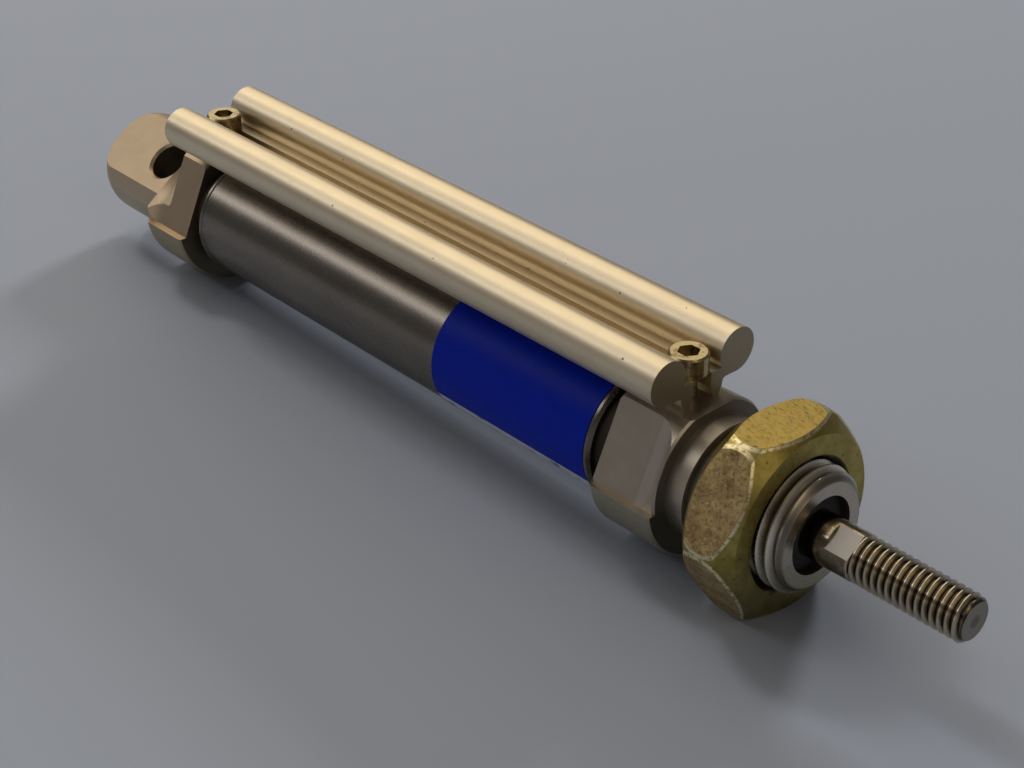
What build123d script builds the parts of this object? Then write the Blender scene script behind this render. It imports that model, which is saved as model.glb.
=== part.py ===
from build123d import *
from math import cos, radians, sin
import os

os.makedirs("parts", exist_ok=True)

# Round pneumatic cylinder with a sensor rail, rod drawn in. Millimetres.
# X is the axis and points to the rod's tip. Z points up, to the rail.
# The origin is on the axis, in the plane of the front cap's shoulder.

# Barrel and stroke
bore_diameter = 16.0
stroke = 50.0
barrel_wall = 0.65
barrel_bead_height = 0.15
barrel_bead_width = 0.7

# Fits
fixed_gap = 0.02
running_gap = 0.03
stop_gap = 0.1

# Caps
cap_diameter = 20.0
cap_belly_diameter = 21.9
belly_drop = 1.45
front_belly_chamfer = 0.8
rear_belly_chamfer = 1.4
cap_flat_height = 8.2
cap_flat_angle = 25.0
cap_flat_length = 6.4
flat_cutter_radius = 6.2
cap_edge_chamfer = 0.3
front_cap_length = 10.4
rear_cap_length = 9.9
front_groove_width = 1.9
rear_groove_width = 2.1
groove_depth = 0.3
spigot_length = 8.0
spigot_chamfer = 0.5
gallery_diameter = 9.2
rear_gallery_floor = 2.2

# Neck
neck_diameter = 16.0
neck_length = 17.0
collar_length = 2.6
relief_width = 0.8
relief_depth = 0.9
neck_chamfer = 1.2
recess_diameter = 10.1
recess_depth = 0.9

# Air ports and their spot faces
port_diameter = 4.2
spot_face_diameter = 8.0
spot_face_depth = 0.5

# Mounting nut
nut_across_flats = 24.0
nut_thickness = 8.0
nut_setback = 3.0
nut_face_diameter = 22.8
nut_corner_diameter = 27.0
nut_chamfer = 1.8
nut_mouth_chamfer = 0.8

# Rear eye
eye_setback = 3.1
eye_hole_diameter = 6.0
eye_hole_chamfer = 0.4
eye_width = 12.0
eye_tongue_diameter = 16.0
eye_reach = 13.8
eye_end_radius = 3.8
eye_angle = 54.0

# Rod
rod_diameter = 6.0
rod_thread_start = 23.4
rod_thread_length = 14.9
rod_thread_diameter = 5.9
rod_relief_width = 0.5
rod_relief_depth = 0.55
rod_tip_chamfer = 0.6
rod_flat_width = 5.0
rod_flat_length = 3.5
rod_flat_setback = 0.3
rod_shank_diameter = 4.0

# Rod bush and rod seal
bush_length = 11.6
rod_seal_length = 2.6
seal_lip_depth = 0.9
seal_lip_width = 0.8

# Piston
piston_length = 12.4
piston_play = 0.1
piston_rear_length = 5.8
magnet_length = 2.4
magnet_wall = 3.6
seal_groove_depth = 2.3
seal_groove_width = 2.2
seal_groove_inset = 0.8
guide_groove_depth = 0.8
guide_groove_width = 1.4
guide_groove_inset = 3.8
piston_nut_across_flats = 7.0
piston_nut_thickness = 2.2
nut_pocket_depth = 2.9
shank_ring_section = 0.9
shank_ring_inset = 1.8

# Bumpers and ring seals
bumper_thickness = 2.0
bumper_opening = 9.6
ring_seal_section = 1.7
ring_seal_inset = 3.2

# Sensor rail
rail_clearance = 0.35
rail_front_setback = 2.2
rail_rear_overlap = 4.2
lobe_diameter = 5.9
lobe_spacing = 11.76
lobe_height = 4.85
channel_width = 3.1
lip_height = 3.45
leg_height = 1.95
leg_width = 7.3
ankle_width = 6.8
ankle_height = 0.8
foot_width = 5.8
foot_opening = 4.0
foot_opening_height = 1.3
leg_fillet = 0.45
web_thickness = 0.8
web_notch = 7.0

# Rail screws
front_screw_inset = 5.8
rear_screw_inset = 1.75
screw_head_diameter = 5.0
screw_head_height = 2.6
screw_edge_chamfer = 0.25
screw_socket_width = 2.5
screw_socket_depth = 1.5
screw_shank_diameter = 2.5
screw_grip = 3.2

# Label
label_thickness = 0.08
label_length = 28.35
label_setback = 0.05
label_start_angle = -43.5
label_wrap = 225.0

# Places along the axis that follow from the sizes
bore_radius = bore_diameter / 2
barrel_radius = bore_radius + barrel_wall
cap_top_height = barrel_radius + barrel_bead_height + rail_clearance
rod_radius = rod_diameter / 2
cap_radius = cap_diameter / 2
belly_radius = cap_belly_diameter / 2
gallery_radius = gallery_diameter / 2
recess_radius = recess_diameter / 2
shank_radius = rod_shank_diameter / 2
spigot_radius = bore_radius - fixed_gap
front_cap_back = -front_cap_length
barrel_front = front_cap_back - front_groove_width
chamber_front = barrel_front - spigot_length
chamber_length = stroke + piston_length + 2 * bumper_thickness + 2 * stop_gap
chamber_rear = chamber_front - chamber_length
barrel_rear = chamber_rear - spigot_length
rear_cap_front = barrel_rear - rear_groove_width
rear_cap_back = rear_cap_front - rear_cap_length
eye_x = rear_cap_back - eye_setback
piston_back = chamber_rear + bumper_thickness + stop_gap
piston_front = piston_back + piston_length
front_screw_x = front_cap_back + front_screw_inset
rear_screw_x = rear_cap_front - rear_screw_inset
nut_front = neck_length - nut_setback
nut_back = nut_front - nut_thickness
recess_floor = neck_length - recess_depth
seal_back = recess_floor - rod_seal_length
far = 4 * (cap_radius + spot_face_diameter)


def turned(points):
    """Solid of revolution about X from a closed outline of (x, radius) points."""
    return revolve(make_face(Polyline(*points, close=True)), axis=Axis.X)


def ring(inner, outer, start, end):
    """Plain ring about X."""
    return turned([(start, inner), (end, inner), (end, outer), (start, outer)])


def disc(radius, start, end):
    """Plain cylinder about X."""
    return turned([(start, 0), (end, 0), (end, radius), (start, radius)])


def ring_seal(outer, section, x):
    """Ring seal about X with the given outside radius, pressed flat where it bears."""
    outline = Rot(0, 0, 22.5) * RegularPolygon(section / 2, 8, major_radius=False)
    return revolve(Pos(x, outer - section / 2) * outline, axis=Axis.X)


def hexagon(across_flats, start, end):
    """Hexagonal bar along X with one flat up and one flat down."""
    outline = Plane((start, 0, 0), x_dir=(0, 1, 0), z_dir=(1, 0, 0)) * RegularPolygon(
        across_flats / 2, 6, major_radius=False
    )
    return extrude(outline, end - start)


def tilted(angle, x=0.0):
    """Plane through the axis: its x runs along X and its y points outwards at the angle above -Y."""
    out = Vector(0, -cos(radians(angle)), sin(radians(angle)))
    return Plane((x, 0, 0), x_dir=(1, 0, 0), z_dir=Vector(1, 0, 0).cross(out))


def above(height):
    """Large block above a level."""
    return Pos(0, 0, height) * Box(far * 8, far, far, align=(Align.CENTER, Align.CENTER, Align.MIN))


def flat_cutter(angle):
    """Block that mills the long flat of a cap, with the round run-out of its cutter."""
    reach = cap_flat_height + flat_cutter_radius
    flat = Pos(cap_flat_length - far / 2, cap_flat_height + far / 2) * Rectangle(far, far)
    run_out = Pos(cap_flat_length, reach) * Circle(flat_cutter_radius)
    return extrude(tilted(angle) * (flat + run_out), far / 2, both=True) & above(-belly_drop)


def cap_block(length, inner_chamfer, outer_chamfer):
    """Cap body from its barrel side at x = 0 to its outer side at x = length. The chamfers are the belly's."""

    def round_block(radius, inner, outer):
        return turned([
            (0, 0), (0, radius - inner), (inner, radius), (length - outer, radius), (length, radius - outer),
            (length, 0),
        ])

    body = round_block(cap_radius, cap_edge_chamfer, cap_edge_chamfer)
    body += round_block(belly_radius, inner_chamfer, outer_chamfer) - above(-belly_drop)
    body -= above(cap_top_height)
    body -= flat_cutter(cap_flat_angle)
    body -= flat_cutter(180 - cap_flat_angle)
    return body


def cap_core(length, groove_width, screw_inset, inner_chamfer, outer_chamfer):
    """Cap body with its spigot, ring seal groove, air port and rail screw hole."""
    spigot_end = -groove_width - spigot_length
    groove_radius = bore_radius - groove_depth
    c = spigot_chamfer
    seal_x = -groove_width - ring_seal_inset
    seal_floor = bore_radius - 2 * fixed_gap - ring_seal_section
    half = ring_seal_section / 2 + fixed_gap
    core = cap_block(length, inner_chamfer, outer_chamfer)
    core += turned([
        (spigot_end, 0), (spigot_end, spigot_radius - c), (spigot_end + c, spigot_radius),
        (seal_x - half, spigot_radius), (seal_x - half, seal_floor),
        (seal_x + half, seal_floor), (seal_x + half, spigot_radius),
        (-groove_width, spigot_radius), (-groove_width, groove_radius), (0, groove_radius), (0, 0),
    ])
    port_x = length / 2
    port = Pos(port_x, 0, -far / 2 - gallery_radius / 2) * Cylinder(port_diameter / 2, far)
    spot_level = -(belly_radius - spot_face_depth)
    spot = Pos(port_x, 0, spot_level - far / 2) * Cylinder(spot_face_diameter / 2, far)
    screw_depth = screw_grip + fixed_gap
    screw_hole = Pos(screw_inset, 0, cap_top_height - screw_depth / 2) * Cylinder(
        screw_shank_diameter / 2 + fixed_gap, screw_depth
    )
    return core - port - spot - screw_hole


def front_cap():
    """Front cap with shoulder, collar, relief groove, neck and recess."""
    core = Pos(front_cap_back, 0, 0) * cap_core(
        front_cap_length, front_groove_width, front_screw_inset, front_belly_chamfer, cap_edge_chamfer
    )
    r = neck_diameter / 2
    thread_start = collar_length + relief_width
    core += turned([
        (-cap_edge_chamfer, 0), (-cap_edge_chamfer, r), (collar_length, r), (collar_length, r - relief_depth),
        (thread_start, r - relief_depth), (thread_start, r),
        (neck_length - neck_chamfer, r), (neck_length, r - neck_chamfer), (neck_length, 0),
    ])
    return core - disc(gallery_radius, chamber_front - 1, seal_back) - disc(recess_radius, seal_back, far)


def eye_tongue():
    """Tongue of the rear eye: a turned bar with a rounded end, flat on two sides."""
    start = rear_cap_back + cap_edge_chamfer
    end = eye_x - eye_reach
    r = eye_tongue_diameter / 2
    bend = eye_end_radius
    corner = (end + bend * (1 - cos(radians(45))), r - bend * (1 - cos(radians(45))))
    outline = make_face(
        Line((start, 0), (start, r))
        + Line((start, r), (end + bend, r))
        + ThreePointArc((end + bend, r), corner, (end, r - bend))
        + Line((end, r - bend), (end, 0))
        + Line((end, 0), (start, 0))
    )
    slab = extrude(tilted(eye_angle) * Rectangle(8 * far, eye_width), far / 2, both=True)
    return revolve(outline, axis=Axis.X) & slab


def rear_cap():
    """Rear cap with the blind gallery, the tongue and its cross hole."""
    core = Pos(rear_cap_front, 0, 0) * Rot(0, 0, 180) * cap_core(
        rear_cap_length, rear_groove_width, rear_screw_inset, cap_edge_chamfer, rear_belly_chamfer
    )
    core += eye_tongue()
    face = Plane((eye_x, 0, 0), x_dir=(1, 0, 0), z_dir=tilted(eye_angle).y_dir)
    hole_radius = eye_hole_diameter / 2
    core -= extrude(face * Circle(hole_radius), far / 2, both=True)
    c = eye_hole_chamfer
    for side in (1, -1):
        mouth = Cone(hole_radius, hole_radius + 2 * c, 2 * c)
        core -= face * Pos(0, 0, side * eye_width / 2) * Rot(0 if side > 0 else 180, 0, 0) * mouth
    return core - disc(gallery_radius, rear_cap_back + rear_gallery_floor, chamber_rear + 1)


def barrel_tube():
    """Drawn tube with a small bead and a rolled edge at both ends."""
    r = barrel_radius
    bead = r + barrel_bead_height
    w = barrel_bead_width
    edge = barrel_wall / 2
    outline = [(barrel_rear, bore_radius), (barrel_rear, r - edge), (barrel_rear + edge, bead)]
    outline += [(barrel_rear + w, bead), (barrel_rear + w + barrel_bead_height, r)]
    outline += [(barrel_front - w - barrel_bead_height, r), (barrel_front - w, bead)]
    outline += [(barrel_front - edge, bead), (barrel_front, r - edge), (barrel_front, bore_radius)]
    return turned(outline)


def label():
    """Film wrapped over part of the barrel, from its lower near side over the top."""
    start = barrel_front - barrel_bead_width - barrel_bead_height - label_setback - label_length
    inner = barrel_radius + fixed_gap
    outline = Pos(0, inner + label_thickness / 2) * Rectangle(label_length, label_thickness)
    strip = Pos(start + label_length / 2, 0, 0) * outline
    film = revolve(Rot(180 - label_start_angle, 0, 0) * strip, axis=Axis.X, revolution_arc=-label_wrap)
    return film


def mounting_nut():
    """Hexagon nut with turned chamfers on both faces, crowned corners and chamfered hole."""
    start = nut_back
    end = nut_front
    face = nut_face_diameter / 2
    corner = nut_corner_diameter / 2
    shoulder = face + nut_chamfer
    envelope = make_face(
        Line((start, 0), (start, face))
        + Line((start, face), (start + nut_chamfer, shoulder))
        + ThreePointArc((start + nut_chamfer, shoulder), ((start + end) / 2, corner), (end - nut_chamfer, shoulder))
        + Line((end - nut_chamfer, shoulder), (end, face))
        + Line((end, face), (end, 0))
        + Line((end, 0), (start, 0))
    )
    nut = hexagon(nut_across_flats, start, end) & revolve(envelope, axis=Axis.X)
    bore = neck_diameter / 2 + fixed_gap
    c = nut_mouth_chamfer
    return nut - turned([
        (start, 0), (start, bore + c), (start + c, bore), (end - c, bore), (end, bore + c), (end, 0),
    ])


def piston_rod():
    """Rod with the thread's outside surface, its relief, two spanner flats and the shank for the piston."""
    tip = rod_thread_start + rod_thread_length
    thread_radius = rod_thread_diameter / 2
    relief_start = rod_thread_start - rod_relief_width
    relief_radius = thread_radius - rod_relief_depth
    shank_end = piston_back + nut_pocket_depth - piston_nut_thickness - 2 * stop_gap
    rod = turned([
        (shank_end, 0), (shank_end, shank_radius), (piston_front, shank_radius), (piston_front, rod_radius),
        (relief_start, rod_radius), (relief_start, relief_radius), (rod_thread_start, relief_radius),
        (rod_thread_start, thread_radius), (tip - rod_tip_chamfer, thread_radius),
        (tip, thread_radius - rod_tip_chamfer), (tip, 0),
    ])
    middle = rod_thread_start - rod_flat_setback - rod_flat_length / 2
    for side in (1, -1):
        cut = Pos(middle, side * (rod_flat_width / 2 + rod_radius)) * Rectangle(rod_flat_length, 2 * rod_radius)
        rod -= extrude(tilted(eye_angle) * cut, far / 2, both=True)
    return rod


def rod_bush():
    """Plain bearing bush for the rod, pressed into the neck."""
    end = seal_back - fixed_gap
    return ring(rod_radius + running_gap, gallery_radius - fixed_gap, end - bush_length, end)


def rod_seal():
    """Rod seal with an open lip to the inside and a wiping lip to the outside."""
    inner = rod_radius + running_gap
    outer = recess_radius - fixed_gap
    back = seal_back
    front = recess_floor
    lip = inner + seal_lip_width
    notch = back + seal_lip_depth
    return turned([
        (back, inner), (front, inner), (front - seal_lip_depth / 2, lip), (front - seal_lip_depth / 2, outer),
        (back, outer), (back, outer - seal_lip_width / 2), (notch, (lip + outer) / 2), (back, lip),
    ])


def piston_seal(x, facing):
    """Lip seal in its piston groove. facing is 1 when the lips open towards the rod's tip."""
    inner = bore_radius - running_gap - seal_groove_depth + 2 * running_gap
    outer = bore_radius - running_gap
    half = seal_groove_width / 2 - running_gap
    middle = (inner + outer) / 2
    back = x - facing * half
    front = x + facing * half
    notch = front - facing * seal_lip_depth
    w = seal_lip_width * 0.6
    return turned([
        (back, inner), (front, inner), (front, inner + w), (notch, middle), (front, outer - w), (front, outer),
        (back, outer - w / 2),
    ])


def piston_half(start, end, grooves):
    """Piston half between two places, with (start, width, depth) grooves in its rim and a bore for the shank."""
    outer = bore_radius - piston_play
    body = ring(shank_radius + fixed_gap, outer, start, end)
    for groove_start, width, depth in grooves:
        body -= ring(bore_radius - running_gap - depth, far, groove_start, groove_start + width)
    return body


def piston_rear_half():
    """Rear half with the nut's pocket, the rear seal groove and the guide ring's groove."""
    body = piston_half(
        piston_back,
        piston_back + piston_rear_length,
        [
            (piston_back + seal_groove_inset, seal_groove_width, seal_groove_depth),
            (piston_back + guide_groove_inset, guide_groove_width, guide_groove_depth),
        ],
    )
    pocket = piston_nut_across_flats / 2 / cos(radians(30)) + 2 * stop_gap
    return body - disc(pocket, piston_back - 1, piston_back + nut_pocket_depth)


def piston_front_half():
    """Front half with the hub that carries the magnet, the front seal groove and the static ring's groove."""
    face = piston_back + piston_rear_length + magnet_length
    groove = piston_front - seal_groove_inset - seal_groove_width
    body = piston_half(face, piston_front, [(groove, seal_groove_width, seal_groove_depth)])
    hub = bore_radius - piston_play - magnet_wall
    body += ring(shank_radius + fixed_gap, hub, face - magnet_length, face)
    ring_x = piston_front - shank_ring_inset
    half = shank_ring_section / 2 + fixed_gap
    return body - disc(shank_radius + 3 * fixed_gap + shank_ring_section, ring_x - half, ring_x + half)


def piston_magnet():
    """Ring magnet between the piston halves."""
    start = piston_back + piston_rear_length + fixed_gap
    outer = bore_radius - piston_play - fixed_gap
    inner = bore_radius - piston_play - magnet_wall + fixed_gap
    return ring(inner, outer, start, start + magnet_length - 2 * fixed_gap)


def piston_nut():
    """Hexagon nut that holds the piston on the shank."""
    end = piston_back + nut_pocket_depth
    start = end - piston_nut_thickness
    return hexagon(piston_nut_across_flats, start, end) - disc(shank_radius + fixed_gap, start - 1, end + 1)


def bumper(start, opening):
    """Elastic stop ring on the inner face of a cap."""
    return ring(opening / 2, bore_radius - fixed_gap, start, start + bumper_thickness)


def rail_side():
    """Right half of the rail's section: round lobe, leg with its lip and foot."""
    lobe_y = lobe_spacing / 2
    inner = channel_width / 2
    base = cap_top_height
    knee = (leg_width / 2, base + leg_height)
    leg = make_face(Polyline(
        (foot_opening / 2, base), (foot_width / 2, base), (ankle_width / 2, base + ankle_height), knee,
        (lobe_y, base + leg_height), (lobe_y, base + lip_height), (inner, base + lip_height),
        (inner, base + foot_opening_height), close=True,
    ))
    leg = fillet(leg.vertices().sort_by_distance(knee)[0], leg_fillet)
    return leg + Pos(lobe_y, base + lobe_height) * Circle(lobe_diameter / 2)


def sensor_rail():
    """Rail with two round lobes over a narrow channel, joined by a thin web that is notched round the screws."""
    front = -rail_front_setback
    rear = rear_cap_front - rail_rear_overlap
    length = front - rear
    side = rail_side()
    section = Plane((rear, 0, 0), x_dir=(0, 1, 0), z_dir=(1, 0, 0))
    rail = extrude(section * side, length)
    rail += mirror(rail, about=Plane.XZ)
    web = Pos((front + rear) / 2, 0, cap_top_height) * Box(
        length - 2 * web_notch, foot_opening, web_thickness, align=(Align.CENTER, Align.CENTER, Align.MIN)
    )
    return rail + web


def rail_screw(x):
    """Round-headed screw with a hexagon socket, seated on the rail's two lips."""
    seat = cap_top_height + lip_height
    top = seat + screw_head_height
    r = screw_head_diameter / 2
    c = screw_edge_chamfer
    shank = screw_shank_diameter / 2
    tip = cap_top_height - screw_grip
    head = make_face(Polyline(
        (0, tip), (shank - c, tip), (shank, tip + c), (shank, seat), (r, seat), (r, top - c), (r - c, top),
        (0, top), close=True,
    ))
    screw = revolve(Plane.XZ * head, axis=Axis.Z)
    socket = Pos(0, 0, top - screw_socket_depth) * RegularPolygon(screw_socket_width / 2, 6, major_radius=False)
    return Pos(x, 0, 0) * (screw - extrude(socket, screw_socket_depth + 1))


# Places of the seals in the piston
rear_seal_x = piston_back + seal_groove_inset + seal_groove_width / 2
front_seal_x = piston_front - seal_groove_inset - seal_groove_width / 2
guide_start = piston_back + guide_groove_inset + running_gap
guide_inner = bore_radius - guide_groove_depth
guide_end = guide_start + guide_groove_width - 2 * running_gap
shank_ring_x = piston_front - shank_ring_inset
shank_ring_outer = shank_radius + 2 * fixed_gap + shank_ring_section

nodes = {
    "barrel_tube": barrel_tube(),
    "label": label(),
    "front_cap": front_cap(),
    "rear_cap": rear_cap(),
    "mounting_nut": mounting_nut(),
    "rod_bush": rod_bush(),
    "rod_seal": rod_seal(),
    "front_bumper": bumper(chamber_front - bumper_thickness, gallery_diameter),
    "rear_bumper": bumper(chamber_rear, bumper_opening),
    "front_barrel_seal": ring_seal(bore_radius - fixed_gap, ring_seal_section, barrel_front - ring_seal_inset),
    "rear_barrel_seal": ring_seal(bore_radius - fixed_gap, ring_seal_section, barrel_rear + ring_seal_inset),
    "sensor_rail": sensor_rail(),
    "front_rail_screw": rail_screw(front_screw_x),
    "rear_rail_screw": rail_screw(rear_screw_x),
    "front_piston_seal": piston_seal(front_seal_x, 1),
    "rear_piston_seal": piston_seal(rear_seal_x, -1),
    "guide_ring": ring(guide_inner, bore_radius - running_gap, guide_start, guide_end),
    "piston_rod": piston_rod(),
    "piston_front_half": piston_front_half(),
    "piston_rear_half": piston_rear_half(),
    "piston_magnet": piston_magnet(),
    "piston_nut": piston_nut(),
    "piston_ring_seal": ring_seal(shank_ring_outer, shank_ring_section, shank_ring_x),
}

for name, shape in nodes.items():
    export_step(shape, f"parts/{name}.step")
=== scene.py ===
from math import atan2, cos, pi, radians, sin

import bmesh
import bpy
from mathutils import Matrix, Vector


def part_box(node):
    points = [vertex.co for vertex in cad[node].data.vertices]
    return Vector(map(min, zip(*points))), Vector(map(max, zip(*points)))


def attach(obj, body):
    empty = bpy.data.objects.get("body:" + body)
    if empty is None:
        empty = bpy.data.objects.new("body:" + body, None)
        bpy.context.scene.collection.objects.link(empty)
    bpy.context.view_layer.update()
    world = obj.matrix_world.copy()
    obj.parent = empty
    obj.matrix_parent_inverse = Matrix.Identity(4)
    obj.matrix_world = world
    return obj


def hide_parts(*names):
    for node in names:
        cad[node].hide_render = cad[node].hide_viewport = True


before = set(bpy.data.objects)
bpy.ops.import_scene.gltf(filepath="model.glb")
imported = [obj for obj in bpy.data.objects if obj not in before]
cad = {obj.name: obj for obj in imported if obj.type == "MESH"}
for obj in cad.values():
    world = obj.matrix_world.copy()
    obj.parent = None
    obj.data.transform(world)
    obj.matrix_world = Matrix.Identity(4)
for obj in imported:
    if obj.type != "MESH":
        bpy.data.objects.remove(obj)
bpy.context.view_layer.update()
mm = 0.001

# Threads, in metres. Their crests lie in the part's own outside surfaces.
rod_pitch = 1.0 * mm
rod_thread_depth = 0.58 * mm
rod_thread_radius = 2.95 * mm
rod_thread_start = 22.9 * mm
rod_tip_chamfer = 0.6 * mm
rod_thread_turn = 0.0
neck_pitch = 1.5 * mm
neck_thread_depth = 0.9 * mm
neck_thread_radius = 8.0 * mm
neck_thread_start = 3.4 * mm
neck_chamfer = 1.2 * mm
neck_thread_turn = 0.5
neck_bore_limit = 6.0 * mm
flange = 0.02 * mm
seam_gap = 0.005 * mm

# Run-on of the cutter of the eye's near flat into the rear cap's body: its level, end and corner radius
slot_level = 6.002 * mm
slot_end = -102.7 * mm
slot_end_radius = 0.3 * mm

# Places that the threads, the finishes and the floor follow
rod_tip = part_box("piston_rod")[1].x
neck_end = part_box("front_cap")[1].x
nut_low, nut_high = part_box("mounting_nut")
rear_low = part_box("rear_cap")[0]
rear_rest = 24 * mm
floor_gap = 0.03 * mm
floor_reach = 4.0
eye_angle = radians(54)

# Places for the finishes, in millimetres
eye_centre = -110.0
eye_radius = 3.0
barrel_seats = (-97.0, -10.5)
side_flat_angle = radians(25)
side_flat_level = 8.2
rail_ends = (-101.19, -2.21)
rod_thread_ends = (22.9, 38.28)
spanner_flat_level = 2.5
label_edge_angle = radians(-42.5)

# The photograph's camera
camera_place = (0.125721, -0.146309, 0.130122)
camera_right = (0.67346385, 0.73920815, -0.00421364)
camera_forward = (-0.63164314, 0.57248566, -0.52276869)
camera_lens = 67.81
camera_shift = (0.00109, 0.00042)


# Shader maths


class Value:
    """An output socket in a material's tree. Python's operators on it add Math nodes."""

    def __init__(self, tree, socket):
        self.tree = tree
        self.socket = socket

    def math(self, operation, *values):
        return self.tree.node("ShaderNodeMath", {"operation": operation}, dict(enumerate(values)))

    def __add__(self, other):
        return self.math("ADD", self, other)

    def __radd__(self, other):
        return self.math("ADD", other, self)

    def __sub__(self, other):
        return self.math("SUBTRACT", self, other)

    def __rsub__(self, other):
        return self.math("SUBTRACT", other, self)

    def __mul__(self, other):
        return self.math("MULTIPLY", self, other)

    def __rmul__(self, other):
        return self.math("MULTIPLY", other, self)

    def __abs__(self):
        return self.math("ABSOLUTE", self)

    def least(self, other):
        return self.math("MINIMUM", self, other)

    def most(self, other):
        return self.math("MAXIMUM", self, other)

    def root(self):
        return self.math("SQRT", self)

    def above(self, low, high):
        """0 below low, 1 above high, smooth between."""
        settings = {"interpolation_type": "SMOOTHSTEP"}
        values = {"Value": self, "From Min": low, "From Max": high}
        return self.tree.node("ShaderNodeMapRange", settings, values)


class Finish:
    """A material, with a short way to add nodes. Its coordinates are millimetres in the part's frame."""

    def __init__(self, name):
        self.material = bpy.data.materials.new(name)
        self.material.use_nodes = True
        self.nodes = self.material.node_tree.nodes
        self.links = self.material.node_tree.links
        self.nodes.clear()
        object_place = self.node("ShaderNodeTexCoord", {}, {}, "Object")
        scaling = {0: object_place, "Scale": 1 / mm}
        self.place = self.node("ShaderNodeVectorMath", {"operation": "SCALE"}, scaling)
        axes = [self.node("ShaderNodeSeparateXYZ", {}, {0: self.place}, axis) for axis in "XYZ"]
        self.x, self.y, self.z = axes

    def node(self, kind, settings, values, output=0):
        """Adds a node with its settings and its sockets' values or links, and gives one output."""
        made = self.nodes.new(kind)
        for key, value in settings.items():
            setattr(made, key, value)
        for key, value in values.items():
            if isinstance(value, Value):
                self.links.new(value.socket, made.inputs[key])
            else:
                made.inputs[key].default_value = value
        return Value(self, made.outputs[output])

    def combine(self, x, y, z):
        return self.node("ShaderNodeCombineXYZ", {}, {0: x, 1: y, 2: z})

    def noise(self, place, scale, detail=3.0, roughness=0.55):
        values = {"Vector": place, "Scale": scale, "Detail": detail, "Roughness": roughness}
        return self.node("ShaderNodeTexNoise", {}, values)

    def specks(self, place, scale, size, share):
        """1 in round specks, in a share of the cells of width 1 / scale. size is a share of that width."""
        far = self.node("ShaderNodeTexVoronoi", {}, {"Vector": place, "Scale": scale}, "Distance")
        cell = Value(self, far.socket.node.outputs["Color"])
        chance = self.node("ShaderNodeSeparateXYZ", {}, {0: cell})
        return (1 - far.above(size * 0.5, size)) * chance.above(1 - share, 1.001 - share)

    def mix(self, share, first, second, blend="MIX"):
        values = {"Factor": share, "A": first, "B": second}
        made = self.nodes.new("ShaderNodeMix")
        made.data_type = "RGBA"
        made.blend_type = blend
        sockets = {"Factor": made.inputs[0], "A": made.inputs[6], "B": made.inputs[7]}
        for key, value in values.items():
            if isinstance(value, Value):
                self.links.new(value.socket, sockets[key])
            else:
                sockets[key].default_value = value if key == "Factor" else (*value, 1.0)
        return Value(self, made.outputs[2])

    def radius(self):
        """Distance from the cylinder's axis."""
        return (self.y * self.y + self.z * self.z).root()

    def turned(self, scale):
        """Fine rings about the axis, on round walls and on faces."""
        return self.noise(self.combine(self.x, self.radius(), 0.0), scale, 4.0, 0.7)

    def drawn(self, scale, stretch=0.02, detail=4.0):
        """Fine lines along the axis."""
        return self.noise(self.combine(self.x * stretch, self.y, self.z), scale, detail, 0.65)

    def outward(self, angle):
        """Distance from the axis in the direction at the angle above the near side."""
        return self.z * sin(angle) - self.y * cos(angle)

    def sideways(self, angle):
        """Distance from the axis square to that direction."""
        return self.z * cos(angle) + self.y * sin(angle)

    def done(self, color, roughness, metallic, height=None, depth=0.01, **constants):
        """Joins the maps to the shader. height is in units of depth millimetres."""
        shader = self.nodes.new("ShaderNodeBsdfPrincipled")
        output = self.nodes.new("ShaderNodeOutputMaterial")
        self.links.new(shader.outputs[0], output.inputs[0])
        values = {"Base Color": color, "Roughness": roughness, "Metallic": metallic}
        if height is not None:
            bump = {"Height": height, "Strength": 1.0, "Distance": depth * mm}
            values["Normal"] = self.node("ShaderNodeBump", {}, bump)
        for key, value in {**values, **constants}.items():
            if isinstance(value, Value):
                self.links.new(value.socket, shader.inputs[key])
            elif key == "Base Color":
                shader.inputs[key].default_value = (*value, 1.0)
            else:
                shader.inputs[key].default_value = value
        return self.material


# Finishes


def barrel_steel():
    f = Finish("barrel_steel")
    fine = f.noise(f.place, 7.0, 3.0, 0.7)
    lines = f.drawn(3.0, 0.08)
    cloud = f.noise(f.place, 0.12, 3.0)
    # Painted reflection: the base colour is kept dark to stand in for dark surroundings reflected in the
    # steel.
    color = f.mix(cloud, (0.17, 0.150, 0.130), (0.25, 0.225, 0.200))
    color = f.mix(lines.above(0.60, 0.75) * 0.3, color, (0.10, 0.085, 0.07))
    roughness = 0.20 + fine * 0.10 + cloud * 0.05
    return f.done(color, roughness, 1.0, fine * 0.6 + lines * 0.4, 0.004)


def label_film():
    """Blue film with a thin worn white border along its lower edge."""
    f = Finish("label_film")
    blotch = f.noise(f.place, 0.35, 3.0)
    fine = f.noise(f.place, 6.0, 2.0)
    blue = f.mix(blotch, (0.0, 0.014, 0.36), (0.0, 0.021, 0.46))
    along = f.sideways(label_edge_angle)
    near = f.outward(label_edge_angle).above(0.0, 1.0)
    border = along.above(0.12, 0.25) * (1 - along.above(2.1, 2.3)) * near
    worn = f.noise(f.place, 0.45, 3.0, 0.5).above(0.30, 0.50)
    color = f.mix(border * worn, blue, (0.62, 0.66, 0.72))
    return f.done(color, 0.36 + fine * 0.14, 0.0, fine, 0.004, **{"Specular IOR Level": 0.10})


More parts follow.
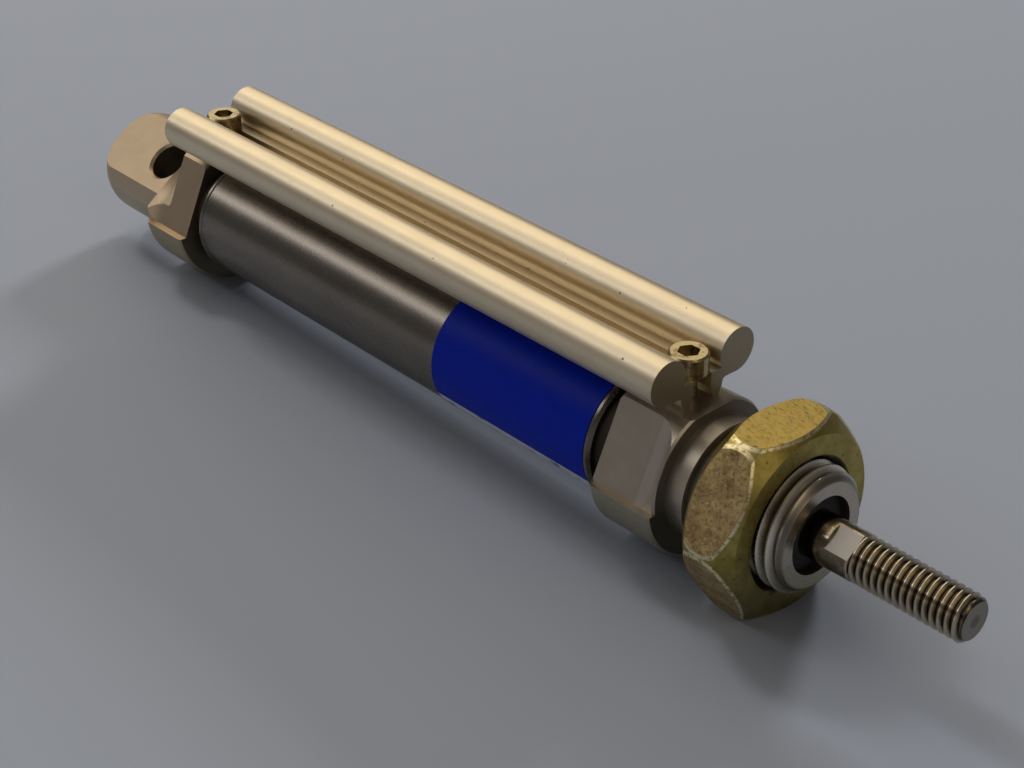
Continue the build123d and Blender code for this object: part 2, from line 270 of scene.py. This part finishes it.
def cap_aluminium(name, dull, light, painted_shade_places):
    """Turned and milled aluminium. The last argument gives 1 where shade is painted in near-black: recesses,
    grooves, thread roots, the eye hole and the barrel seats.
    """
    f = Finish(name)
    rings = f.turned(5.0)
    cloud = f.noise(f.place, 0.35, 4.0)
    fine = f.noise(f.place, 4.0, 3.0, 0.7)
    color = f.mix(cloud, dull, light)
    pits = f.specks(f.place, 1.1, 0.09, 0.35)
    dark = painted_shade_places(f)
    color = f.mix(pits * 0.6, color, (0.10, 0.08, 0.06))
    # Painted reflection: the lower side below the ledge is tinted olive.
    underside_reflection = 1 - f.z.above(-1.6, -1.5)
    color = f.mix(underside_reflection * 0.6, color, (0.38, 0.355, 0.24))
    thread = f.x.above(3.3, 3.5)
    # Painted highlight: the upper flanks and crests of the neck thread are painted lighter.
    crest = f.radius().above(7.55, 7.85) * thread
    color = f.mix(crest * 0.7, color, (0.84, 0.78, 0.69))
    # Painted shade: near-black where the shade mask from the last argument is 1.
    color = f.mix(dark * 0.93, color, (0.030, 0.023, 0.018))
    roughness = 0.30 + rings * 0.12 + fine * 0.10 + dark * 0.2 - thread * 0.14
    return f.done(color, roughness, 1.0, rings * 0.6 + fine * 0.5 - pits, 0.006)


def front_cap_painted_shade(f):
    """Painted shade on the front cap: its recess, relief groove, thread roots, front face and the seat of
    the barrel go dark, and its milled side flats a little darker.
    """
    recess = f.x.above(10.0, 10.5) * (1 - f.radius().above(5.02, 5.07)) * (1 - f.x.above(16.3, 16.9) * 0.7)
    seat = 1 - f.x.above(barrel_seats[1], barrel_seats[1] + 0.12)
    face = f.x.above(-0.05, -0.01) * (1 - f.x.above(0.01, 0.05)) * f.radius().above(8.0, 8.05) * 0.62
    relief = f.x.above(2.55, 2.65) * (1 - f.x.above(3.4, 3.8)) * (1 - f.radius().above(7.2, 7.7)) * 0.7
    root = f.x.above(3.4, 3.8) * (1 - f.radius().above(7.15, 7.55)) * f.radius().above(6.5, 7.0) * 0.6
    level = abs(f.outward(side_flat_angle))
    flat = (1 - abs(level - side_flat_level).above(0.02, 0.06)) * (1 - f.x.above(-0.2, -0.1)) * 0.22
    return recess.most(seat).most(face).most(relief).most(root).most(flat)


def rear_cap_painted_shade(f):
    """Painted shade on the rear cap: its eye hole and the seat of the barrel go dark."""
    span = f.x - eye_centre
    across = f.sideways(eye_angle)
    hole = 1 - (span * span + across * across).root().above(eye_radius, eye_radius + 0.08)
    return (hole * 0.64).most(f.x.above(barrel_seats[0] - 0.05, barrel_seats[0] + 0.05))


def rail_aluminium():
    f = Finish("rail_aluminium")
    lines = f.drawn(9.0, 0.01)
    cloud = f.noise(f.place, 0.25, 4.0)
    fine = f.noise(f.place, 5.0, 3.0, 0.7)
    color = f.mix(cloud, (0.70, 0.60, 0.44), (0.80, 0.70, 0.53))
    color = f.mix(lines.above(0.60, 0.78) * 0.2, color, (0.42, 0.35, 0.23))
    pits = f.specks(f.place, 0.42, 0.075, 0.40)
    dents = f.specks(f.place, 1.3, 0.10, 0.12)
    color = f.mix((pits + dents).least(1.0) * 0.85, color, (0.05, 0.04, 0.03))
    saw = f.noise(f.combine(f.x, f.y * 3.0, f.z * 0.35), 2.2, 4.0, 0.7)
    rear_end = 1 - f.x.above(rail_ends[0] - 0.005, rail_ends[0] + 0.005)
    ends = f.x.above(rail_ends[1] - 0.005, rail_ends[1] + 0.005).most(rear_end)
    color = f.mix(ends * 0.75, color, f.mix(saw, (0.20, 0.165, 0.11), (0.36, 0.31, 0.23)))
    roughness = 0.33 + lines * 0.10 + fine * 0.08 + ends * 0.1
    return f.done(color, roughness, 1.0, lines * 0.5 + fine * 0.4 - pits * 2 + saw * ends, 0.008)


def nut_zinc():
    """Yellow zinc: bright worn top flat, stained side flats, olive faces painted lighter towards the top as
    painted light and shade, a bore mouth painted dark as painted shade, and light edges that are part wear,
    part painted highlight.
    """
    f = Finish("nut_zinc")
    level = nut_high.z / mm
    tilt = [abs(f.z), abs(f.z * 0.5 + f.y * 0.8660254), abs(f.z * 0.5 - f.y * 0.8660254)]
    highest = tilt[0].most(tilt[1]).most(tilt[2])
    flat = highest.above(level - 0.04, level - 0.01)
    top = f.z.above(level - 0.1, level - 0.02)
    wear_and_glint = f.noise(f.place, 1.6, 4.0, 0.7)
    # Worn edges painted light: part real wear, part painted highlight along the edges.
    edge = (1 - abs(highest - (level - 0.19)).above(0.07, 0.22)) * wear_and_glint.above(0.34, 0.54)
    stain = f.noise(f.place, 0.45, 5.0, 0.65)
    grain = f.noise(f.place, 2.2, 4.0, 0.7)
    spots = f.noise(f.place, 1.1, 4.0, 0.6).above(0.62, 0.72)
    along = f.combine(f.x * 0.22, f.y + f.x * 0.10, f.z + f.x * 0.05)
    long_lines = f.noise(along, 4.5, 4.0, 0.7).above(0.54, 0.64)
    aslant = f.combine(f.x * 0.35, f.y - f.x * 0.08, f.z)
    short_lines = f.noise(aslant, 6.0, 3.0, 0.6).above(0.58, 0.68)
    patch = f.noise(f.place, 0.5, 2.0).above(0.46, 0.62)
    yellow = f.mix(stain, (0.31, 0.213, 0.034), (0.44, 0.32, 0.064))
    yellow = f.mix(long_lines * 0.75, yellow, (0.08, 0.045, 0.01))
    yellow = f.mix(spots * 0.8, yellow, (0.08, 0.05, 0.015))
    brown = f.mix(stain.above(0.30, 0.70), (0.28, 0.175, 0.070), (0.60, 0.44, 0.19))
    brown = f.mix(grain.above(0.46, 0.66) * 0.6, brown, (0.055, 0.032, 0.016))
    brown = f.mix(short_lines * patch * 0.8, brown, (0.85, 0.64, 0.32))
    shaded_olive = f.mix(stain.above(0.3, 0.7), (0.19, 0.160, 0.048), (0.29, 0.250, 0.092))
    lit_olive = f.mix(stain.above(0.3, 0.7), (0.31, 0.240, 0.058), (0.46, 0.375, 0.115))
    # Painted light and shade: the faces are darker towards the bottom and lighter towards the top.
    olive = f.mix(f.z.above(-7.0, 3.0), shaded_olive, lit_olive)
    olive = f.mix(spots * 0.7, olive, (0.06, 0.045, 0.015))
    # Painted shade: the mouth of the bore goes near-black.
    mouth_shade = (1 - f.radius().above(8.5, 8.85)) * 0.9
    olive = f.mix(mouth_shade, olive, (0.018, 0.014, 0.008))
    color = f.mix(flat, olive, f.mix(top, brown, yellow))
    color = f.mix(edge * 0.9, color, (0.95, 0.85, 0.56))
    roughness = 0.30 + grain * 0.16 + stain * 0.08 - edge * 0.10 + flat * (1 - top) * 0.10
    height = grain * 0.5 + stain * 0.5 - long_lines * flat * 0.6 - spots * 0.5
    return f.done(color, roughness, 1.0, height, 0.010)


def rod_steel():
    """Ground rod with thread roots painted dark as painted shade, satin spanner flats and a brushed end."""
    f = Finish("rod_steel")
    rings = f.turned(6.0)
    fine = f.noise(f.place, 6.0, 3.0, 0.7)
    cloud = f.noise(f.place, 0.6, 3.0)
    # Painted reflection: the golden tint stands in, in part, for warm light reflected in the steel.
    color = f.mix(cloud, (0.46, 0.39, 0.29), (0.58, 0.50, 0.38))
    start = rod_thread_ends[0]
    end = f.x.above(rod_thread_ends[1] - 0.01, rod_thread_ends[1] + 0.01)
    thread = f.x.above(start, start + 0.1) * (1 - end)
    # Painted shade: the thread roots go near-black.
    root = (1 - f.radius().above(2.40, 2.86)) * thread
    color = f.mix(root * 0.92, color, (0.035, 0.026, 0.018))
    stained = f.x.above(15.0, 16.5) * (1 - f.x.above(start - 0.4, start)) * cloud.above(0.30, 0.55)
    color = f.mix(stained * 0.75, color, (0.10, 0.070, 0.028))
    level = abs(abs(f.outward(eye_angle)) - spanner_flat_level)
    flats = (1 - level.above(0.01, 0.03)) * f.x.above(19.55, 19.62) * (1 - f.x.above(22.88, 22.95))
    color = f.mix(flats, color, f.mix(fine, (0.42, 0.39, 0.37), (0.54, 0.505, 0.485)))
    tip = f.mix(f.radius().above(0.5, 1.1), (0.07, 0.06, 0.05), (0.22, 0.20, 0.18))
    color = f.mix(end * 0.8, color, tip)
    roughness = 0.10 + rings * 0.06 + cloud * 0.04 + flats * 0.26 + end * 0.22 + thread * 0.06
    return f.done(color, roughness, 1.0, rings * 0.5 + fine * 0.5 * (thread + flats + end), 0.005)


def screw_zinc():
    f = Finish("screw_zinc")
    fine = f.noise(f.place, 3.0, 3.0)
    stain = f.noise(f.place, 0.9, 4.0)
    color = f.mix(fine, (0.34, 0.27, 0.14), (0.56, 0.47, 0.28))
    color = f.mix(stain.above(0.50, 0.62) * 0.6, color, (0.12, 0.08, 0.04))
    return f.done(color, 0.22 + fine * 0.14, 1.0, fine, 0.006)


def rubber(name, shade):
    f = Finish(name)
    fine = f.noise(f.place, 8.0, 3.0)
    color = f.mix(fine, (shade, shade, shade), (shade * 1.6, shade * 1.6, shade * 1.7))
    return f.done(color, 0.62 + fine * 0.15, 0.0, fine, 0.006)


def plain_metal(name, dark, light, roughness):
    f = Finish(name)
    rings = f.turned(6.0)
    color = f.mix(rings, dark, light)
    return f.done(color, roughness + rings * 0.12, 1.0, rings, 0.004)


def guide_plastic():
    f = Finish("guide_plastic")
    fine = f.noise(f.place, 5.0, 3.0)
    color = f.mix(fine, (0.60, 0.57, 0.50), (0.72, 0.69, 0.62))
    return f.done(color, 0.5 + fine * 0.1, 0.0, fine, 0.004)


# Pieces


def thread_tree():
    """Geometry nodes for a screw thread about X: a sheet whose lines follow the helix."""
    tree = bpy.data.node_groups.new("screw_thread", "GeometryNodeTree")
    lengths = ("Start", "Length", "Pitch", "Crest Radius", "Depth", "Front Chamfer", "Back Chamfer")
    sockets = [(name, "NodeSocketFloat") for name in (*lengths, "Flange", "Turn")]
    sockets += [(name, "NodeSocketInt") for name in ("Steps", "Segments")]
    sockets.append(("Material", "NodeSocketMaterial"))
    for name, kind in sockets:
        tree.interface.new_socket(name, in_out="INPUT", socket_type=kind)
    tree.interface.new_socket("Geometry", in_out="OUTPUT", socket_type="NodeSocketGeometry")
    given = tree.nodes.new("NodeGroupInput").outputs
    result = tree.nodes.new("NodeGroupOutput")

    def node(kind, settings, values, output=0):
        made = tree.nodes.new(kind)
        for key, value in settings.items():
            setattr(made, key, value)
        for key, value in values.items():
            if isinstance(value, bpy.types.NodeSocket):
                tree.links.new(value, made.inputs[key])
            else:
                made.inputs[key].default_value = value
        return made.outputs[output]

    def math(operation, *values):
        return node("ShaderNodeMath", {"operation": operation}, dict(enumerate(values)))

    start, pitch, crest_radius = given["Start"], given["Pitch"], given["Crest Radius"]
    end = math("ADD", start, given["Length"])
    turns = math("DIVIDE", given["Length"], pitch)
    lines = math("ADD", math("MULTIPLY", math("ADD", math("CEIL", turns), 1.0), given["Steps"]), 2.0)
    counts = {"Vertices X": math("ADD", lines, 1.0), "Vertices Y": given["Segments"]}
    sheet = node("GeometryNodeMeshGrid", {}, {"Size X": 1.0, "Size Y": 1.0, **counts})
    place = node("GeometryNodeInputPosition", {}, {})
    along = math("ADD", node("ShaderNodeSeparateXYZ", {}, {0: place}, "X"), 0.5)
    round_share = math("ADD", node("ShaderNodeSeparateXYZ", {}, {0: place}, "Y"), 0.5)
    line = math("SUBTRACT", math("MULTIPLY", along, lines), 1.0)
    advance = math("ADD", math("SUBTRACT", math("DIVIDE", line, given["Steps"]), 1.0), round_share)
    free_x = math("ADD", start, math("MULTIPLY", advance, pitch))
    x = math("MINIMUM", math("MAXIMUM", free_x, start), end)
    travelled = math("DIVIDE", math("SUBTRACT", x, start), pitch)
    turned = math("SUBTRACT", math("SUBTRACT", travelled, round_share), given["Turn"])
    phase = math("FRACT", math("ADD", turned, 4.0))
    crest = math("ABSOLUTE", math("SUBTRACT", math("MULTIPLY", phase, 2.0), 1.0))
    ridge = node("ShaderNodeMapRange", {}, {"Value": crest, "From Min": 0.125, "From Max": 0.875})
    valley = math("MULTIPLY", math("SUBTRACT", 1.0, ridge), given["Depth"])
    radius = math("SUBTRACT", crest_radius, valley)
    front_room = math("SUBTRACT", math("ADD", x, given["Front Chamfer"]), end)
    back_room = math("SUBTRACT", math("ADD", start, given["Back Chamfer"]), x)
    cut = math("MAXIMUM", math("MAXIMUM", front_room, back_room), 0.0)
    radius = math("MINIMUM", radius, math("SUBTRACT", crest_radius, cut))
    step = math("DIVIDE", math("MULTIPLY", pitch, 0.999), given["Steps"])
    before = math("LESS_THAN", free_x, math("SUBTRACT", start, step))
    flange_radius = math("SUBTRACT", math("SUBTRACT", crest_radius, given["Depth"]), given["Flange"])
    radius = node("ShaderNodeMix", {}, {"Factor": before, "A": radius, "B": flange_radius})
    angle = math("MULTIPLY", round_share, 2 * pi)
    y = math("MULTIPLY", math("COSINE", angle), radius)
    z = math("MULTIPLY", math("SINE", angle), radius)
    bent = node("GeometryNodeSetPosition", {}, {
        "Geometry": sheet, "Position": node("ShaderNodeCombineXYZ", {}, {0: x, 1: y, 2: z}),
    })
    closed = node("GeometryNodeMergeByDistance", {}, {"Geometry": bent, "Distance": 2e-6})
    real = node("GeometryNodeRealizeInstances", {}, {"Geometry": closed})
    painted = node("GeometryNodeSetMaterial", {}, {"Geometry": real, "Material": given["Material"]})
    tree.links.new(painted, result.inputs[0])
    return tree


def thread_mesh(tree, material, **sizes):
    """The thread as a plain mesh, with the tree's inputs given by name."""
    carrier = bpy.data.objects.new("thread_carrier", bpy.data.meshes.new("thread_carrier"))
    bpy.context.scene.collection.objects.link(carrier)
    modifier = carrier.modifiers.new("thread", "NODES")
    modifier.node_group = tree
    for item in tree.interface.items_tree:
        if item.in_out == "INPUT":
            key = item.name.lower().replace(" ", "_")
            modifier[item.identifier] = material if key == "material" else sizes[key]
    bpy.context.view_layer.update()
    evaluated = carrier.evaluated_get(bpy.context.evaluated_depsgraph_get())
    mesh = bpy.data.meshes.new_from_object(evaluated)
    carrier.modifiers.remove(modifier)
    bpy.data.objects.remove(carrier)
    return mesh


def copied(node):
    """A merged copy of a CAD node's mesh that keeps the node's own corner normals as an attribute."""
    source = cad[node].data
    normals = [corner.vector.copy() for corner in source.corner_normals]
    shape = bmesh.new()
    shape.from_mesh(source)
    known = shape.loops.layers.float_vector.new("known_normal")
    corners = (loop for face in shape.faces for loop in face.loops)
    for loop, normal in zip(corners, normals):
        loop[known] = normal
    bmesh.ops.remove_doubles(shape, verts=shape.verts, dist=1e-6)
    for face in shape.faces:
        face.material_index = 0
    return shape


def place_of(vertex):
    """Angle of a vertex about X."""
    return atan2(vertex.co.z, vertex.co.y)


def close_ring(shape, first, second):
    """Triangles between two rims about X, taken in order of angle."""
    rims = [sorted(rim, key=place_of) for rim in (first, second)]
    rims = [rim + rim[:1] for rim in rims]
    angles = [[place_of(vertex) for vertex in rim[:-1]] + [place_of(rim[0]) + 2 * pi] for rim in rims]
    at = [0, 0]
    last = [len(rim) - 1 for rim in rims]
    while at != last:
        left = [angles[side][at[side] + 1] if at[side] < last[side] else 3 * pi for side in (0, 1)]
        side = 0 if left[0] <= left[1] else 1
        shape.faces.new((rims[0][at[0]], rims[1][at[1]], rims[side][at[side] + 1]))
        at[side] += 1


def finished(name, node, mesh, material, body):
    """A piece from a mesh made on copied(): sharp edges, the known normals, its finish, body and slot."""
    for face in mesh.polygons:
        face.use_smooth = True
    mesh.set_sharp_from_angle(angle=radians(25))
    wanted = [Vector(item.vector) for item in mesh.attributes["known_normal"].data]
    mesh.normals_split_custom_set(wanted)
    mesh.attributes.remove(mesh.attributes["known_normal"])
    mesh.materials.clear()
    mesh.materials.append(material)
    piece = bpy.data.objects.new(name, mesh)
    bpy.context.scene.collection.objects.link(piece)
    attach(piece, body)
    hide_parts(node)
    return piece


def dressed(name, node, drop, thread, material, body):
    """A copy of a CAD node in which the thread takes the place of the faces that drop names."""
    shape = copied(node)
    gone = [face for face in shape.faces if drop(face.calc_center_median())]
    bmesh.ops.delete(shape, geom=gone, context="FACES")
    cut_rims = {vertex for edge in shape.edges if edge.is_boundary for vertex in edge.verts}
    shape.from_mesh(thread)
    open_rims = {vertex for edge in shape.edges if edge.is_boundary for vertex in edge.verts}
    middle = sum(vertex.co.x for vertex in thread.vertices) / len(thread.vertices)
    for ahead in (True, False):
        rims = (cut_rims, open_rims - cut_rims)
        pair = ([vertex for vertex in rim if (vertex.co.x > middle) == ahead] for rim in rims)
        close_ring(shape, *pair)
    bmesh.ops.recalc_face_normals(shape, faces=shape.faces)
    mesh = bpy.data.meshes.new(name)
    shape.to_mesh(mesh)
    shape.free()
    return finished(name, node, mesh, material, body)


def cutter_block():
    """Solid that the eye's cutter sweeps beyond the near flat, with its rounded corner."""
    out = Vector((0, -cos(eye_angle), sin(eye_angle)))
    side = Vector((0, -sin(eye_angle), -cos(eye_angle)))
    far = 20 * mm
    start = slot_end - 2 * far
    turns = [pi / 2 * step / 6 for step in range(7)]
    centre_x, centre_level = slot_end - slot_end_radius, slot_level + slot_end_radius
    circle = [(slot_end_radius * sin(turn), -slot_end_radius * cos(turn)) for turn in turns]
    corner = [(centre_x + ahead, centre_level + up) for ahead, up in circle]
    outline = [(start, slot_level), *corner, (slot_end, far), (start, far)]
    shape = bmesh.new()
    ends = []
    for reach in (-far, far):
        rim = [Vector((x, 0, 0)) + out * level + side * reach for x, level in outline]
        ends.append([shape.verts.new(corner) for corner in rim])
    for end in ends:
        shape.faces.new(end)
    for place in range(len(outline)):
        shape.faces.new((ends[0][place - 1], ends[0][place], ends[1][place], ends[1][place - 1]))
    bmesh.ops.recalc_face_normals(shape, faces=shape.faces)
    return shape


def slotted_rear_cap(aluminium):
    """The rear cap, in which the cutter of the eye's near flat has run on into the body."""
    objects = []
    for name, shape in (("rear_cap_body", copied("rear_cap")), ("cutter_block", cutter_block())):
        mesh = bpy.data.meshes.new(name)
        shape.to_mesh(mesh)
        shape.free()
        objects.append(bpy.data.objects.new(name, mesh))
        bpy.context.scene.collection.objects.link(objects[-1])
    cut = objects[0].modifiers.new("slot", "BOOLEAN")
    cut.object = objects[1]
    cut.operation = "DIFFERENCE"
    cut.solver = "EXACT"
    bpy.context.view_layer.update()
    evaluated = objects[0].evaluated_get(bpy.context.evaluated_depsgraph_get())
    mesh = bpy.data.meshes.new_from_object(evaluated)
    objects[0].modifiers.remove(cut)
    for item in objects:
        bpy.data.objects.remove(item)
    return finished("slotted_rear_cap", "rear_cap", mesh, aluminium, "cylinder")


def threaded_rod(tree, steel):
    """The rod with a rolled thread in place of its plain threaded length."""
    length = rod_tip - rod_thread_start - 2 * seam_gap
    thread = thread_mesh(
        tree, steel, start=rod_thread_start + seam_gap, length=length, pitch=rod_pitch,
        crest_radius=rod_thread_radius, depth=rod_thread_depth, front_chamfer=rod_tip_chamfer,
        back_chamfer=0.0, flange=flange, turn=rod_thread_turn, steps=16, segments=73,
    )

    def threaded(centre):
        return rod_thread_start + 1e-6 < centre.x < rod_tip - 1e-6 or (
            abs(centre.x - rod_thread_start) < 1e-6 and centre.yz.length > 2.4 * mm
        )

    return dressed("threaded_rod", "piston_rod", threaded, thread, steel, "rod")


def threaded_front_cap(tree, aluminium):
    """The front cap with a cut thread on its neck."""
    length = neck_end - neck_thread_start - 2 * seam_gap
    thread = thread_mesh(
        tree, aluminium, start=neck_thread_start + seam_gap, length=length, pitch=neck_pitch,
        crest_radius=neck_thread_radius, depth=neck_thread_depth, front_chamfer=neck_chamfer,
        back_chamfer=neck_thread_depth, flange=flange, turn=neck_thread_turn, steps=16, segments=97,
    )

    def threaded(centre):
        return neck_thread_start - 1e-6 < centre.x < neck_end - 1e-6 and centre.yz.length > neck_bore_limit

    return dressed("threaded_front_cap", "front_cap", threaded, thread, aluminium, "cylinder")


def paint(node, material):
    """Gives a CAD node its finish."""
    cad[node].data.materials.clear()
    cad[node].data.materials.append(material)


# Stage


def floor_level():
    """Height of the floor at X = 0 and its slope, through the two places that the part rests on."""
    front_x, front_z = (nut_low.x + nut_high.x) / 2, nut_low.z
    rear_x = rear_low.x + rear_rest
    rear_z = rear_low.z
    slope = (rear_z - front_z) / (rear_x - front_x)
    return front_z - slope * front_x, slope


def build_stage():
    level, slope = floor_level()
    mesh = bpy.data.meshes.new("floor")
    corners = [(x * floor_reach, y * floor_reach) for x, y in ((-1, -1), (1, -1), (1, 1), (-1, 1))]
    mesh.from_pydata([(x, y, level + slope * x - floor_gap) for x, y in corners], [], [(0, 1, 2, 3)])
    floor = bpy.data.objects.new("floor", mesh)
    bpy.context.scene.collection.objects.link(floor)
    f = Finish("floor")
    mesh.materials.append(f.done((0.335, 0.374, 0.458), 0.75, 0.0))


def build_lights():
    """Soft lamps: place, width, height, brightness and tint. Two cast the shadows, the others give gloss."""
    world = bpy.data.worlds.new("studio")
    bpy.context.scene.world = world
    world.use_nodes = True
    background = world.node_tree.nodes["Background"]
    background.inputs["Color"].default_value = (1.0, 0.95, 0.90, 1.0)
    background.inputs["Strength"].default_value = 0.11
    lamps = {
        "window": ((-1.13, 0.72, 1.22), 1.6, 1.5, 1.22, (1.0, 0.89, 0.70)),
        "sky": ((-1.13, -0.33, 1.35), 1.6, 1.3, 0.75, (1.0, 0.93, 0.80)),
        "strip": ((-1.13, -0.92, 1.00), 1.3, 0.25, 2.0, (1.0, 0.98, 0.96)),
        "shadow_behind": ((-0.58, 1.60, 0.82), 0.32, 0.32, 47.0, (1.0, 0.97, 0.93)),
        "shadow_above": ((-1.35, 0.10, 1.45), 0.32, 0.32, 20.0, (1.0, 0.97, 0.93)),
        "golden": ((1.30, -0.15, 1.18), 1.0, 0.9, 0.8, (1.0, 0.84, 0.58)),
        "front": ((-0.10, -1.75, 0.34), 1.4, 0.5, 0.62, (1.0, 0.95, 0.88)),
    }
    aim = Vector((-0.04, 0, 0))
    for name, (place, width, height, brightness, tint) in lamps.items():
        light = bpy.data.lights.new(name, "AREA")
        light.shape = "RECTANGLE"
        light.size, light.size_y = width, height
        light.energy = brightness * pi * width * height
        light.color = tint
        lamp = bpy.data.objects.new(name, light)
        lamp.location = place
        away = (Vector(place) - aim).normalized()
        across = Vector((1, 0, 0)) - away * away.x
        across.normalize()
        lamp.rotation_euler = Matrix((across, away.cross(across), away)).transposed().to_euler()
        lamp.visible_glossy = not name.startswith("shadow")
        bpy.context.scene.collection.objects.link(lamp)


def build_camera():
    right, forward = Vector(camera_right), Vector(camera_forward)
    up = right.cross(forward)
    turn = Matrix((right, up, -forward)).transposed()
    data = bpy.data.cameras.new("camera")
    data.lens = camera_lens
    data.sensor_width = 36.0
    data.shift_x, data.shift_y = camera_shift
    data.clip_start = 0.01
    camera = bpy.data.objects.new("camera", data)
    camera.matrix_world = Matrix.Translation(camera_place) @ turn.to_4x4()
    bpy.context.scene.collection.objects.link(camera)
    bpy.context.scene.camera = camera


def build_part():
    front = cap_aluminium("front_cap_aluminium", (0.43, 0.38, 0.32), (0.56, 0.505, 0.43), front_cap_painted_shade)
    rear = cap_aluminium("rear_cap_aluminium", (0.45, 0.345, 0.235), (0.55, 0.435, 0.31), rear_cap_painted_shade)
    steel = rod_steel()
    tree = thread_tree()
    threaded_front_cap(tree, front)
    threaded_rod(tree, steel)
    slotted_rear_cap(rear)
    screw = screw_zinc()
    seal = rubber("seal_rubber", 0.02)
    bumper = rubber("bumper_rubber", 0.06)
    piston = plain_metal("piston_aluminium", (0.55, 0.55, 0.56), (0.72, 0.72, 0.73), 0.3)
    paint("barrel_tube", barrel_steel())
    paint("label", label_film())
    paint("mounting_nut", nut_zinc())
    paint("sensor_rail", rail_aluminium())
    paint("rod_bush", plain_metal("bush_bronze", (0.42, 0.29, 0.15), (0.56, 0.40, 0.22), 0.4))
    paint("guide_ring", guide_plastic())
    paint("piston_magnet", rubber("magnet", 0.07))
    paint("piston_nut", plain_metal("piston_nut_steel", (0.42, 0.42, 0.42), (0.58, 0.58, 0.58), 0.3))
    for node in ("front_rail_screw", "rear_rail_screw"):
        paint(node, screw)
    for place in ("rod", "front_barrel", "rear_barrel", "front_piston", "rear_piston", "piston_ring"):
        paint(place + "_seal", seal)
    for node in ("front_bumper", "rear_bumper"):
        paint(node, bumper)
    for node in ("piston_front_half", "piston_rear_half"):
        paint(node, piston)


build_part()
build_stage()
build_lights()
build_camera()
bpy.context.scene.view_settings.view_transform = "Standard"
